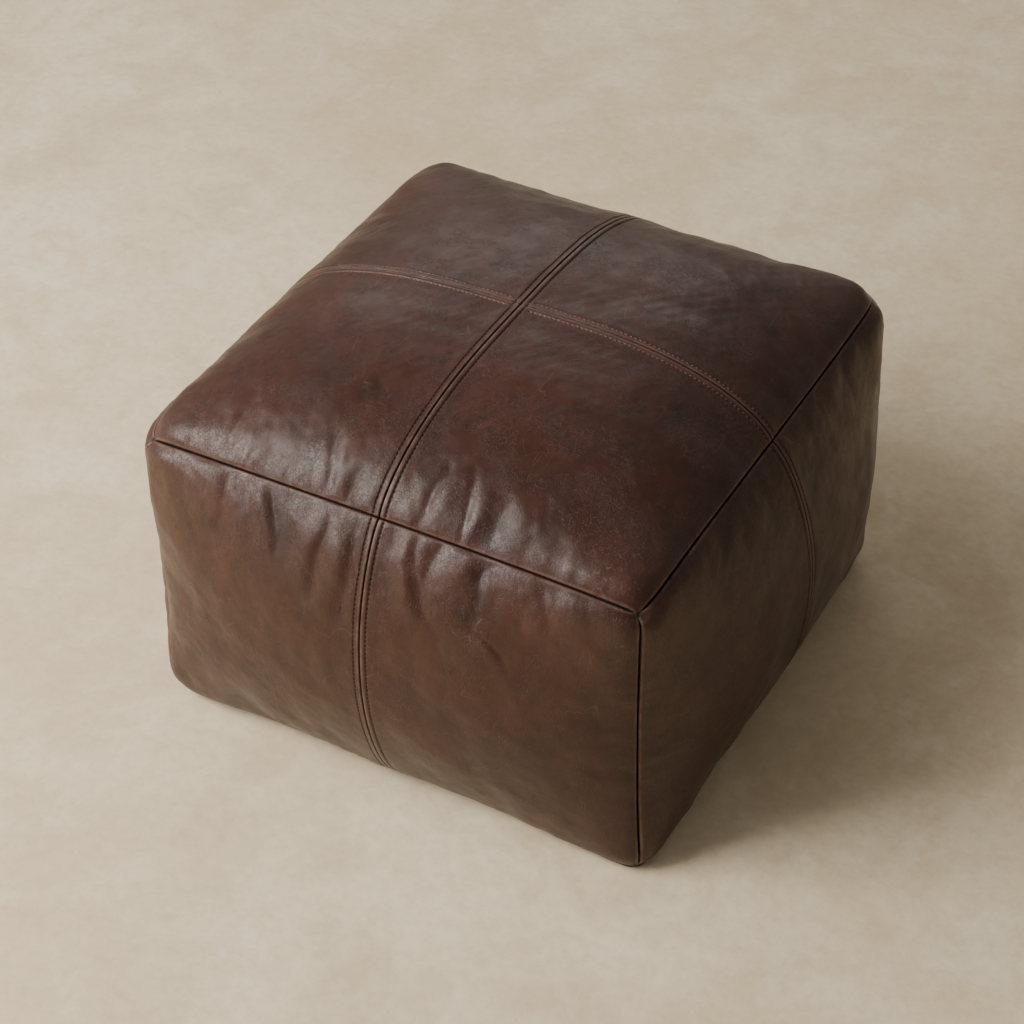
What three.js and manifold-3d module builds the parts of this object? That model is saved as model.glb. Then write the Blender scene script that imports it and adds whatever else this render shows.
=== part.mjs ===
// A square Moroccan leather pouf: fourteen leather panels sewn into a cover over a stuffed
// inner bag, with topstitched cross seams and a zip in a sunken channel underneath.
// Millimetres, +Z up. The origin is the middle of the underside, on the floor.
import * as THREE from 'three';
import { mergeVertices } from 'three/addons/utils/BufferGeometryUtils.js';
import Module from 'manifold-3d';

// Driving dimensions of the cover
const SEAM_WIDTH = 500; // between the corner seams
const TOP_SEAM_HEIGHT = 311; // at the corners
const BOTTOM_SEAM_HEIGHT = 8;
const SEAM_BOW = 4; // the middle of each perimeter seam lies this much further out and up
const CROWN = 66; // swell of the top above its seam
const SIDE_BULGE = 48; // swell of each side beyond its seams
const LEATHER = 1.6;
const ALLOWANCE = 6; // turned-in edge at the plain seams
const DOUBLED = 10; // width that is double where an allowance is pressed open
const GAP = 0.3; // clearance between touching pieces

// Topstitching
const STITCH_OFFSET = 6.4; // each row from its seam
const THREAD = 0.7;

// Inner bag and its filling
const BAG_DEPTH = 8; // below the outside of the leather
const BAG_EDGE_DEPTH = 10; // rounder along the seams
const BAG_CLOTH = 0.8;
const FILLING_GAP = 0.6;
const BAG_MOUTH = 260;

// Zip under the pouf, along X
const ZIP_HEIGHT = 8.5; // middle of the tape
const ZIP_RECESS = 6.3; // the leather beside the zip is sunk by this
const CHANNEL_FLAT = 17;
const CHANNEL_EDGE = 42;
const CHANNEL_LENGTH = 208; // half of it, at full depth
const CHANNEL_END = 237.5;
const WINDOW_HALF = 6; // the leather edges stand this far from the zip's middle
const WINDOW_LENGTH = 204;
const TAPE_LENGTH = [-206, 200];
const TAPE_INNER = 3.2;
const TAPE_OUTER = 16;
const TAPE_THICK = 0.6;
const COIL_LENGTH = [-196, 191];
const COIL_WIDTH = 2.6;
const COIL_THICK = 2.2;
const SLIDER_X = -194; // the slider's pin, with the zip closed
const SLIDER_LENGTH = 12;
const SLIDER_WIDTH = 9.6;
const PIN_HEIGHT = 3.6;
const PIN_RADIUS = 0.7;
const PULL_LENGTH = 24;
const PULL_WIDTH = 6.4;
const PULL_THICK = 1.2;
const PULL_DROOP = THREE.MathUtils.degToRad(6.9); // its tip rests on the floor

const HALF = SEAM_WIDTH / 2;

const wasm = await Module();
wasm.setup();

function leather(shade) {
  return new THREE.MeshStandardMaterial({ color: shade, roughness: 0.45, metalness: 0 });
}

const leatherTop = () => leather(0x4a3029);
const leatherSide = () => leather(0x412a23);
const threadMaterial = () => new THREE.MeshStandardMaterial({ color: 0x7a4a3c, roughness: 0.8, metalness: 0 });
const tapeMaterial = () => new THREE.MeshStandardMaterial({ color: 0x2b1d18, roughness: 0.9, metalness: 0 });
const coilMaterial = () => new THREE.MeshStandardMaterial({ color: 0x241813, roughness: 0.5, metalness: 0 });
const brassMaterial = () => new THREE.MeshStandardMaterial({ color: 0x8c7040, roughness: 0.4, metalness: 1 });
const clothMaterial = () => new THREE.MeshStandardMaterial({ color: 0xcfc4ae, roughness: 0.95, metalness: 0 });
const fillingMaterial = () => new THREE.MeshStandardMaterial({ color: 0xe4ddcf, roughness: 1, metalness: 0 });

const pouf = new THREE.Group();

function addMesh(name, geometry, material) {
  const mesh = new THREE.Mesh(geometry, material);
  mesh.name = name;
  pouf.add(mesh);
  return mesh;
}

// ---- the swollen form that every layer follows ----

// Profile of a stuffed panel across its long way: 1 in the middle, 0 at the seams
function longSwell(t) {
  return (1 - Math.min(1, Math.abs(t)) ** 3) ** 0.7;
}

// The same from the bottom seam to the top one
function shortSwell(t) {
  return (1 - Math.min(1, Math.abs(t)) ** 2) ** 0.75;
}

// The underside drops from its seam to the floor within this share of the half width
const FOOT = 0.05;
function footDrop(t) {
  return Math.min(1, Math.max(0, 1 - Math.abs(t)) / FOOT) ** 0.5;
}

function ramp(distance, flat, edge) {
  return THREE.MathUtils.clamp((edge - Math.abs(distance)) / (edge - flat), 0, 1);
}

// A point of the form. a, b and c run from -1 to 1 along X, Y and Z, and one of them is at
// its end, which says the face. depth is measured inwards from the outside of the leather.
function onForm(a, b, c, depth) {
  const half = HALF - depth;
  const point = new THREE.Vector3();
  point.x = a * (half + SEAM_BOW * (1 - b * b));
  point.y = b * (half + SEAM_BOW * (1 - a * a));
  const low = BOTTOM_SEAM_HEIGHT + depth;
  const high = TOP_SEAM_HEIGHT + SEAM_BOW * (1 - a * a * b * b) - depth;
  point.z = THREE.MathUtils.lerp(low, high, (c + 1) / 2);
  if (Math.abs(a) === 1) point.x += a * SIDE_BULGE * longSwell(b) * shortSwell(c);
  if (Math.abs(b) === 1) point.y += b * SIDE_BULGE * longSwell(a) * shortSwell(c);
  if (c === 1) point.z += CROWN * longSwell(a) * longSwell(b);
  if (c === -1) {
    const channel = ramp(a * HALF, CHANNEL_LENGTH, CHANNEL_END) * ramp(b * HALF, CHANNEL_FLAT, CHANNEL_EDGE);
    point.z += ZIP_RECESS * channel - BOTTOM_SEAM_HEIGHT * footDrop(a) * footDrop(b);
  }
  return point;
}

// Each face's own directions: across and up it, seen from outside, as a, b and c
const FACES = {
  top: (u, v) => [u, v, 1],
  bottom: (u, v) => [u, -v, -1],
  front: (u, v) => [u, -1, v],
  back: (u, v) => [-u, 1, v],
  right: (u, v) => [1, u, v],
  left: (u, v) => [-1, -u, v],
};

function onFace(face, u, v, depth) {
  return onForm(...FACES[face](u, v), depth);
}

// Outward normal of a face at a point, from two short steps along it
function faceNormal(face, u, v) {
  const step = 0.004;
  const across = onFace(face, u + step, v, 0).sub(onFace(face, u - step, v, 0));
  const up = onFace(face, u, v + step, 0).sub(onFace(face, u, v - step, 0));
  return across.cross(up).normalize();
}

// A slab with columns x rows x 1 segments, whose corners go where place(i, j, k) says:
// k is 1 on its outside and 0 on its inside
function bentSlab(columns, rows, place) {
  const slab = new THREE.BoxGeometry(columns, rows, 1, columns, rows, 1);
  const position = slab.attributes.position;
  for (let n = 0; n < position.count; n += 1) {
    const i = Math.round(position.getX(n) + columns / 2);
    const j = Math.round(position.getY(n) + rows / 2);
    const k = Math.round(position.getZ(n) + 0.5);
    const point = place(i, j, k);
    position.setXYZ(n, point.x, point.y, point.z);
  }
  return asSolid(slab);
}

function asSolid(geometry) {
  geometry.deleteAttribute('normal');
  geometry.deleteAttribute('uv');
  const solid = mergeVertices(geometry, 1e-4);
  solid.computeVertexNormals();
  return solid;
}

// ---- leather panels ----

// Lines across a panel, each as [distance from the seam in mm, depth of its inside]
const TURNED_EDGE = [[0.4, ALLOWANCE], [1.2, ALLOWANCE], [1.3, LEATHER]];
const PRESSED_EDGE = [[GAP / 2, 2 * LEATHER], [DOUBLED, 2 * LEATHER], [DOUBLED + 0.5, LEATHER]];

// From one seam to another that is `span` away, with plain lines at `between`
function panelLines(start, between, end, span) {
  const last = end.map(([distance, depth]) => [span - distance, depth]).reverse();
  return [...start, ...between.map((distance) => [distance, LEATHER]), ...last];
}

const HALF_LINES = panelLines(PRESSED_EDGE, [50, 105, 160, 203, 234], TURNED_EDGE, HALF);
const SIDE_SPAN = TOP_SEAM_HEIGHT - BOTTOM_SEAM_HEIGHT;
const HEIGHT_LINES = panelLines(TURNED_EDGE, [14, 42, 88, 140, 192, 238, 270, 292], TURNED_EDGE, SIDE_SPAN);

function panel(name, face, columns, rows, material) {
  const geometry = bentSlab(columns.length - 1, rows.length - 1, (i, j, k) => {
    const [u, insideU] = columns[i];
    const [v, insideV] = rows[j];
    return onFace(face, u, v, k === 1 ? 0 : Math.max(insideU, insideV));
  });
  addMesh(name, geometry, material);
}

// Lines of one half of a face, towards -1 or +1 along it
function halfLines(side) {
  const lines = HALF_LINES.map(([distance, depth]) => [(side * distance) / HALF, depth]);
  return side > 0 ? lines : lines.reverse();
}

const heightLines = HEIGHT_LINES.map(([distance, depth]) => [(2 * distance) / SIDE_SPAN - 1, depth]);

for (const [row, v] of [['front', -1], ['back', 1]]) {
  for (const [column, u] of [['left', -1], ['right', 1]]) {
    panel(`top_panel_${row}_${column}`, 'top', halfLines(u), halfLines(v), leatherTop());
  }
}

// The two panels of a side are named by where they stand on the pouf
const SIDE_HALVES = {
  front: ['left', 'right'],
  right: ['front', 'back'],
  back: ['right', 'left'],
  left: ['back', 'front'],
};
for (const [face, [first, second]] of Object.entries(SIDE_HALVES)) {
  panel(`${face}_panel_${first}`, face, halfLines(-1), heightLines, leatherSide());
  panel(`${face}_panel_${second}`, face, halfLines(1), heightLines, leatherSide());
}

// Each half of the underside runs from the zip to the bottom seam. Past the zip's ends the
// two halves meet in a plain seam.
const ACROSS_BOTTOM = [45, 130, WINDOW_LENGTH, CHANNEL_LENGTH, 222];
const BOTTOM_EDGE = [...TURNED_EDGE, [HALF - CHANNEL_END, LEATHER]];
const bottomHalf = [
  ...ACROSS_BOTTOM.map((distance) => [distance, LEATHER]),
  ...BOTTOM_EDGE.map(([distance, depth]) => [HALF - distance, depth]).reverse(),
];
const bottomColumns = [
  ...bottomHalf.map(([distance, depth]) => [-distance, depth]).reverse(),
  ...bottomHalf,
];
const bottomRows = [
  [WINDOW_HALF, LEATHER],
  [CHANNEL_FLAT, LEATHER],
  [CHANNEL_EDGE, LEATHER],
  [110, LEATHER],
  [180, LEATHER],
  ...BOTTOM_EDGE.map(([distance, depth]) => [HALF - distance, depth]).reverse(),
];

function bottomPanel(name, side) {
  const geometry = bentSlab(bottomColumns.length - 1, bottomRows.length - 1, (i, j, k) => {
    const [x, insideX] = bottomColumns[i];
    // The bottom face is seen from below, so its rows run the other way for the back half
    const [y, insideY] = bottomRows[side < 0 ? j : bottomRows.length - 1 - j];
    const edge = j === (side < 0 ? 0 : bottomRows.length - 1);
    const fromZip = edge && Math.abs(x) > WINDOW_LENGTH ? GAP / 2 : y;
    return onForm(x / HALF, (side * fromZip) / HALF, -1, k === 1 ? 0 : Math.max(insideX, insideY));
  });
  addMesh(name, geometry, leatherSide());
}

bottomPanel('bottom_panel_front', -1);
bottomPanel('bottom_panel_back', 1);

// ---- topstitching: one thread for each row, laid over the leather ----

// `path` lists places along the row as [u, v] in mm from the middle of the face, and
// `across` is the row's sideways direction there
function stitchRow(name, face, path, across) {
  const spans = [HALF, face === 'top' ? HALF : SIDE_SPAN / 2];
  const geometry = bentSlab(1, path.length - 1, (i, j, k) => {
    const sideways = (i - 0.5) * THREAD;
    const u = (path[j][0] + sideways * across[0]) / spans[0];
    const v = (path[j][1] + sideways * across[1]) / spans[1];
    const lift = GAP + 0.05 + k * THREAD;
    return onFace(face, u, v, 0).addScaledVector(faceNormal(face, path[j][0] / spans[0], v), lift);
  });
  addMesh(name, geometry, threadMaterial());
}

const ALONG_HALF = [10, 50, 105, 160, 203, 234, 247];
const ALONG_TOP = [...ALONG_HALF.map((distance) => -distance).reverse(), 0, ...ALONG_HALF];
const UP_SIDE = [3, 14, 42, 88, 140, 192, 238, 270, 292, 300].map((z) => z - SIDE_SPAN / 2);

// The front-to-back seam was sewn last, so its rows run on over the crossing
for (const [side, u] of [['left', -STITCH_OFFSET], ['right', STITCH_OFFSET]]) {
  stitchRow(`stitching_top_long_${side}`, 'top', ALONG_TOP.map((v) => [u, v]), [1, 0]);
}

for (const [side, v] of [['front', -STITCH_OFFSET], ['back', STITCH_OFFSET]]) {
  const right = ALONG_HALF.map((u) => [u, v]);
  const left = right.map(([u]) => [-u, v]);
  stitchRow(`stitching_top_right_${side}`, 'top', right, [0, -1]);
  stitchRow(`stitching_top_left_${side}`, 'top', left, [0, 1]);
}

for (const [face, [first, second]] of Object.entries(SIDE_HALVES)) {
  for (const [side, u] of [[first, -STITCH_OFFSET], [second, STITCH_OFFSET]]) {
    stitchRow(`stitching_${face}_${side}`, face, UP_SIDE.map((v) => [u, v]), [1, 0]);
  }
}

// ---- inner bag and filling ----

const FORM_STEPS = 8;

// Grid lines of the inner layers lie closer together towards the seams
function eased(t) {
  return t * (1.35 - 0.35 * t * t);
}

function innerForm(depth) {
  const extra = BAG_EDGE_DEPTH - BAG_DEPTH;
  const form = new THREE.BoxGeometry(2, 2, 2, FORM_STEPS, FORM_STEPS, FORM_STEPS);
  const position = form.attributes.position;
  for (let n = 0; n < position.count; n += 1) {
    const corner = [position.getX(n), position.getY(n), position.getZ(n)];
    const atEnds = corner.filter((t) => Math.abs(t) > 0.999).length;
    const [a, b, c] = corner.map((t) => (Math.abs(t) > 0.999 ? Math.sign(t) : eased(t)));
    const point = onForm(a, b, c, depth + (atEnds > 1 ? extra : 0));
    position.setXYZ(n, point.x, point.y, point.z);
  }
  return asSolid(form);
}

function toManifold(geometry) {
  const solid = asSolid(geometry);
  const mesh = new wasm.Mesh({
    numProp: 3,
    vertProperties: Float32Array.from(solid.attributes.position.array),
    triVerts: Uint32Array.from(solid.index.array),
  });
  return new wasm.Manifold(mesh);
}

function toGeometry(manifold) {
  const mesh = manifold.getMesh();
  const geometry = new THREE.BufferGeometry();
  geometry.setAttribute('position', new THREE.BufferAttribute(Float32Array.from(mesh.vertProperties), 3));
  geometry.setIndex(new THREE.BufferAttribute(Uint32Array.from(mesh.triVerts), 1));
  geometry.computeVertexNormals();
  return geometry;
}

// The bag's mouth is a slit in its underside, above the zip
const mouth = new THREE.BoxGeometry(BAG_MOUTH, 5, 20);
mouth.translate(0, 0, BAG_DEPTH + ZIP_RECESS);
const bag = toManifold(innerForm(BAG_DEPTH))
  .subtract(toManifold(innerForm(BAG_DEPTH + BAG_CLOTH)))
  .subtract(toManifold(mouth));
addMesh('inner_bag', toGeometry(bag), clothMaterial());
addMesh('filling', innerForm(BAG_DEPTH + BAG_CLOTH + FILLING_GAP), fillingMaterial());

// ---- zip ----

function bar(length, width, height) {
  return new THREE.BoxGeometry(length, width, height);
}

// A bar along X between two ends, from `inner` to `outer` on one side of the zip
function zipBar(name, side, ends, inner, outer, thick, z, material) {
  const mesh = addMesh(name, bar(ends[1] - ends[0], outer - inner, thick), material);
  mesh.position.set((ends[0] + ends[1]) / 2, (side * (inner + outer)) / 2, z);
}

const THREAD_Z = ZIP_RECESS - GAP - THREAD / 2;
const ZIP_STITCH = 10;
const ZIP_SIDES = [['front', -1], ['back', 1]];
for (const [name, side] of ZIP_SIDES) {
  zipBar(`zip_tape_${name}`, side, TAPE_LENGTH, TAPE_INNER, TAPE_OUTER, TAPE_THICK, ZIP_HEIGHT, tapeMaterial());
  const coilInner = GAP / 2;
  zipBar(`zip_coil_${name}`, side, COIL_LENGTH, coilInner, coilInner + COIL_WIDTH, COIL_THICK, ZIP_HEIGHT, coilMaterial());
  const row = [ZIP_STITCH - THREAD / 2, ZIP_STITCH + THREAD / 2];
  zipBar(`stitching_zip_${name}`, side, [-200, 200], ...row, THREAD, THREAD_Z, threadMaterial());
}

// A block through which the tapes pass in side slots: the stops and the slider start so
function cut(solid, length, width, height, x, y, z) {
  const tool = bar(length, width, height);
  tool.translate(x, y, z);
  return solid.subtract(toManifold(tool));
}

function join(solid, geometry) {
  return solid.add(toManifold(geometry));
}

const SLOT = TAPE_THICK + 2 * GAP + 0.2; // room for the tape
const STOP_LENGTH = 3.5;
const STOP_THICK = 3;

// Each top stop is crimped over the edge of its tape, ahead of the closed slider
for (const [name, side] of ZIP_SIDES) {
  const inner = TAPE_INNER - 1.2;
  const width = 2.8;
  let stop = toManifold(bar(STOP_LENGTH, width, STOP_THICK));
  stop = cut(stop, 2 * STOP_LENGTH, width, SLOT, 0, side * (TAPE_INNER - GAP - inner), 0);
  const mesh = addMesh(`zip_top_stop_${name}`, toGeometry(stop), brassMaterial());
  mesh.position.set(TAPE_LENGTH[0] + STOP_LENGTH / 2, side * (inner + width / 2), ZIP_HEIGHT);
}

// The bottom stop holds both tapes past the end of the coils
const BOTTOM_STOP_WIDTH = 9;
const slotWidth = BOTTOM_STOP_WIDTH / 2 - (TAPE_INNER - GAP);
let bottomStop = toManifold(bar(STOP_LENGTH, BOTTOM_STOP_WIDTH, STOP_THICK));
for (const [, side] of ZIP_SIDES) {
  const y = side * (BOTTOM_STOP_WIDTH / 2 - slotWidth / 2 + 0.5);
  bottomStop = cut(bottomStop, 2 * STOP_LENGTH, slotWidth + 1, SLOT, 0, y, 0);
}
const bottomStopMesh = addMesh('zip_bottom_stop', toGeometry(bottomStop), brassMaterial());
bottomStopMesh.position.set(COIL_LENGTH[1] + GAP + STOP_LENGTH / 2, 0, ZIP_HEIGHT);

// The slider: two plates joined by a wedge, their flanges reaching towards the tapes, and a
// pair of lugs with a pin that the pull hangs on. Its own origin is the pin, at the zip's height.
const PLATE = 1.3;
const PLATE_INSIDE = 1.5;
const FLANGE = 1;
const LUG_THICK = 1;
const LUG_INNER = 2.2;
const LUG_LENGTH = 3.2;

function sliderPlate() {
  const length = SLIDER_LENGTH / 2;
  const wide = SLIDER_WIDTH / 2;
  const narrow = wide - 0.6;
  const round = 2;
  const outline = new THREE.Shape();
  outline.moveTo(-length + round, -wide);
  outline.lineTo(length - round, -narrow);
  outline.quadraticCurveTo(length, -narrow, length, -narrow + round);
  outline.lineTo(length, narrow - round);
  outline.quadraticCurveTo(length, narrow, length - round, narrow);
  outline.lineTo(-length + round, wide);
  outline.quadraticCurveTo(-length, wide, -length, wide - round);
  outline.lineTo(-length, -wide + round);
  outline.quadraticCurveTo(-length, -wide, -length + round, -wide);
  return new THREE.ExtrudeGeometry(outline, { depth: PLATE, bevelEnabled: false, curveSegments: 3 });
}

function zipSlider() {
  const upper = sliderPlate();
  upper.translate(0, 0, PLATE_INSIDE);
  let slider = toManifold(upper);
  const lower = sliderPlate();
  lower.translate(0, 0, -PLATE_INSIDE - PLATE);
  slider = join(slider, lower);
  const wedge = bar(3, 2, 2 * PLATE_INSIDE + 1);
  wedge.translate(-SLIDER_LENGTH / 2 + 2, 0, 0);
  slider = join(slider, wedge);
  const flangeHeight = PLATE_INSIDE - SLOT / 2;
  for (const side of [-1, 1]) {
    for (const level of [-1, 1]) {
      const flange = bar(SLIDER_LENGTH - 4, FLANGE, flangeHeight + 0.4);
      flange.translate(0, side * (SLIDER_WIDTH / 2 - 1.3), level * (SLOT / 2 + flangeHeight / 2 + 0.2));
      slider = join(slider, flange);
    }
    const lugTop = -PLATE_INSIDE - PLATE + 0.4;
    const lugBottom = PIN_HEIGHT - ZIP_HEIGHT - 1.6;
    const lug = bar(LUG_LENGTH, LUG_THICK, lugTop - lugBottom);
    lug.translate(0, side * (LUG_INNER + LUG_THICK / 2), (lugTop + lugBottom) / 2);
    slider = join(slider, lug);
  }
  const pin = new THREE.CylinderGeometry(PIN_RADIUS, PIN_RADIUS, 2 * LUG_INNER + LUG_THICK, 12);
  pin.translate(0, 0, PIN_HEIGHT - ZIP_HEIGHT);
  return toGeometry(join(slider, pin));
}

const sliderMesh = addMesh('zip_slider', zipSlider(), brassMaterial());
sliderMesh.position.set(SLIDER_X, 0, ZIP_HEIGHT);

// The pull: an eye on the slider's pin and a rounded tab with a hole
const EYE_RADIUS = 1.75;
const EYE_BORE = 1.1;
const EYE_WIDTH = 3.6;

function pullTab() {
  const half = PULL_WIDTH / 2;
  const neck = EYE_WIDTH / 2;
  const shoulder = 4.5;
  const tab = new THREE.Shape();
  tab.moveTo(1.2, -neck);
  tab.lineTo(shoulder - 1, -neck);
  tab.lineTo(shoulder + 1, -half);
  tab.lineTo(PULL_LENGTH - half, -half);
  tab.absarc(PULL_LENGTH - half, 0, half, -Math.PI / 2, Math.PI / 2, false);
  tab.lineTo(shoulder + 1, half);
  tab.lineTo(shoulder - 1, neck);
  tab.lineTo(1.2, neck);
  tab.closePath();
  const hole = new THREE.Path();
  hole.absarc(PULL_LENGTH - half, 0, 1.5, 0, 2 * Math.PI, true);
  tab.holes.push(hole);
  return new THREE.ExtrudeGeometry(tab, { depth: PULL_THICK, bevelEnabled: false, curveSegments: 8 });
}

function zipPull() {
  const tab = pullTab();
  tab.translate(0, 0, -PULL_THICK / 2);
  const eye = new THREE.CylinderGeometry(EYE_RADIUS, EYE_RADIUS, EYE_WIDTH, 16);
  const bore = new THREE.CylinderGeometry(EYE_BORE, EYE_BORE, 2 * EYE_WIDTH, 16);
  return toGeometry(join(toManifold(tab), eye).subtract(toManifold(bore)));
}

const pullMesh = addMesh('zip_pull', zipPull(), brassMaterial());
pullMesh.position.set(SLIDER_X, 0, PIN_HEIGHT);
pullMesh.rotation.y = PULL_DROOP;

export default pouf;
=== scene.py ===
import math

import bpy
import numpy as np
from mathutils import Matrix, Vector


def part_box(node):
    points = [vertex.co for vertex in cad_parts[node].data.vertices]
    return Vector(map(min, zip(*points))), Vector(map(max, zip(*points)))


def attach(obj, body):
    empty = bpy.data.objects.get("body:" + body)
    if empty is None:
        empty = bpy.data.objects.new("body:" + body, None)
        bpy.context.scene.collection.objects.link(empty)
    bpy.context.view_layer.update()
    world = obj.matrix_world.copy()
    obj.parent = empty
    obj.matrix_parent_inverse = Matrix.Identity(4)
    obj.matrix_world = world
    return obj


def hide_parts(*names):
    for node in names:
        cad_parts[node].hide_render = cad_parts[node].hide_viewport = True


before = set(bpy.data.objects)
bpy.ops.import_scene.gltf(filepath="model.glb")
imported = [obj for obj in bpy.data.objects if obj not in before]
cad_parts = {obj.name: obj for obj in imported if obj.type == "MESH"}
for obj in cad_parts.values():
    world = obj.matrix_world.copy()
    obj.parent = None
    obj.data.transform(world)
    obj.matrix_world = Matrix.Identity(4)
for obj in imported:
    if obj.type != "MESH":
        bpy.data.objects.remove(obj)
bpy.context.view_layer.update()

MM = 0.001

# ---- the pouf's main sizes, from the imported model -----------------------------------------

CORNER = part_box("front_panel_right")
HALF = round(CORNER[1].x, 3)  # from the middle to the corner seams
TOP_SEAM = 0.311  # height of the top seam at the corners
BOTTOM_SEAM = 0.008
SEAM_BOW = 0.004  # how far a seam's middle lies out and up
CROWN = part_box("top_panel_front_left")[1].z - TOP_SEAM - SEAM_BOW
SIDE_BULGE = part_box("right_panel_front")[1].x - HALF - SEAM_BOW
LEATHER = 1.6 * MM
STITCH_ROW = 6.4 * MM  # each topstitched row from its seam
STITCH_PITCH = 4.8 * MM
ZIP_RECESS = 6.3 * MM
CHANNEL_FLAT = 0.017  # the zip's channel: half its flat floor's width,
CHANNEL_EDGE = 0.042  # half its whole width,
CHANNEL_LENGTH = 0.208  # half its flat floor's length,
CHANNEL_END = 0.2375  # and half its whole length
FOOT = 0.05  # share of the underside that comes down


# ---- the swollen form: the same one as the CAD's, in numpy --------------------------------

def long_swell(t):
    """Swelling across a long side: 1 in the middle, 0 at the seams, and steep beside them."""
    return (1 - np.minimum(1, np.abs(t)) ** 3) ** 0.7


def short_swell(t):
    """Swelling up a side, rounder than the long one."""
    return (1 - np.minimum(1, np.abs(t)) ** 2) ** 0.75


def foot_drop(t):
    """How the underside comes down from its seams to the floor."""
    return np.minimum(1, np.maximum(0, 1 - np.abs(t)) / FOOT) ** 0.5


def smooth(edge, flat, distance):
    """1 inside `flat`, 0 beyond `edge`, smooth between them."""
    t = np.clip((edge - np.abs(distance)) / (edge - flat), 0, 1)
    return t * t * (3 - 2 * t)


BLUNT = 4.5 * MM  # the corners themselves are drawn in, and round
BLUNT_REACH = 20 * MM

# A stuffed cover isn't quite true: each corner stands some millimetres off the square.
# The moves are in millimetres, and fade away from the corner
CORNER_FADE = 6
CORNER_MOVES = {
    (1, -1, 1): (5, -5, -1),
    (-1, -1, 1): (-5, -1, -1),
    (1, 1, 1): (3, 5, 9),
    (-1, 1, 1): (1, 10, 12),
    (1, -1, -1): (12, -12, -6),
    (-1, -1, -1): (-10, -7, -4),
    (1, 1, -1): (6, -3, -6),
    (-1, 1, -1): (-7, 6, -3),
}

# Each face as (axis held, its sign, axis across, its sign, axis up, its sign), seen from outside
FACES = {
    "top": (2, 1, 0, 1, 1, 1),
    "bottom": (2, -1, 0, 1, 1, -1),
    "front": (1, -1, 0, 1, 2, 1),
    "back": (1, 1, 0, -1, 2, 1),
    "right": (0, 1, 1, 1, 2, 1),
    "left": (0, -1, 1, -1, 2, 1),
}


def form(face, u, v):
    """Outside of the leather at u, v in -1..1 across and up a face."""
    axis, end, across, across_sign, up, up_sign = FACES[face]
    u, v = np.broadcast_arrays(np.asarray(u, float), np.asarray(v, float))
    cube = [None] * 3
    cube[axis] = np.full(u.shape, float(end))
    cube[across] = across_sign * u
    cube[up] = up_sign * v
    a, b, c = cube
    x = a * (HALF + SEAM_BOW * (1 - b * b))
    y = b * (HALF + SEAM_BOW * (1 - a * a))
    high = TOP_SEAM + SEAM_BOW * (1 - a * a * b * b)
    z = BOTTOM_SEAM + (high - BOTTOM_SEAM) * (c + 1) / 2
    for corner, move in CORNER_MOVES.items():
        share = 1.0
        blunt = 0.0
        for t, side in zip((a, b, c), corner):
            share = share * ((1 + side * t) / 2) ** CORNER_FADE
            blunt = blunt + ((1 - side * t) * HALF / BLUNT_REACH) ** 2
        blunt = BLUNT * np.exp(-blunt)
        x = x + share * move[0] * MM - blunt * corner[0]
        y = y + share * move[1] * MM - blunt * corner[1]
        z = z + share * move[2] * MM - blunt * max(0, corner[2])
    if face == "top":
        z = z + CROWN * long_swell(a) * long_swell(b)
    elif face == "bottom":
        channel = smooth(CHANNEL_END, CHANNEL_LENGTH, a * HALF)
        channel = channel * smooth(CHANNEL_EDGE, CHANNEL_FLAT, b * HALF)
        z = z + ZIP_RECESS * channel - BOTTOM_SEAM * foot_drop(a) * foot_drop(b)
    elif axis == 0:
        x = x + end * SIDE_BULGE * long_swell(b) * short_swell(c)
    else:
        y = y + end * SIDE_BULGE * long_swell(a) * short_swell(c)
    return np.stack([x, y, z], axis=-1)


def form_normal(face, u, v):
    """Outward direction of the form there."""
    step = 0.006
    across = form(face, u + step, v) - form(face, u - step, v)
    up = form(face, u, v + step) - form(face, u, v - step)
    n = np.cross(across, up)
    return n / np.linalg.norm(n, axis=-1, keepdims=True)


# ---- camera ---------------------------------------------------------------------------------

CAMERA_AZIMUTH = math.radians(30.19)
CAMERA_ELEVATION = math.radians(39.87)
CAMERA_ROLL = math.radians(-1.49)
CAMERA_DISTANCE = 4.9235 * 2 * HALF
CAMERA_ASIDE = (0.0254 * 2 * HALF, 0.0333 * 2 * HALF)
CAMERA_LENS = 89.25


def make_camera():
    """The photo's view: azimuth 0 looks along +Y, from in front."""
    back = Vector((
        math.sin(CAMERA_AZIMUTH) * math.cos(CAMERA_ELEVATION),
        -math.cos(CAMERA_AZIMUTH) * math.cos(CAMERA_ELEVATION),
        math.sin(CAMERA_ELEVATION),
    ))
    right = Vector((0, 0, 1)).cross(back).normalized()
    up = back.cross(right)
    turn = Matrix((right, up, back)).transposed() @ Matrix.Rotation(CAMERA_ROLL, 3, "Z")
    data = bpy.data.cameras.new("camera")
    data.lens = CAMERA_LENS
    data.clip_end = 50
    camera = bpy.data.objects.new("camera", data)
    aside = turn @ Vector((-CAMERA_ASIDE[0], -CAMERA_ASIDE[1], CAMERA_DISTANCE))
    place = Vector((0, 0, TOP_SEAM / 2)) + aside
    camera.matrix_world = Matrix.Translation(place) @ turn.to_4x4()
    bpy.context.scene.collection.objects.link(camera)
    bpy.context.scene.camera = camera


# ---- meshes from grids ------------------------------------------------------------------------

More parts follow.
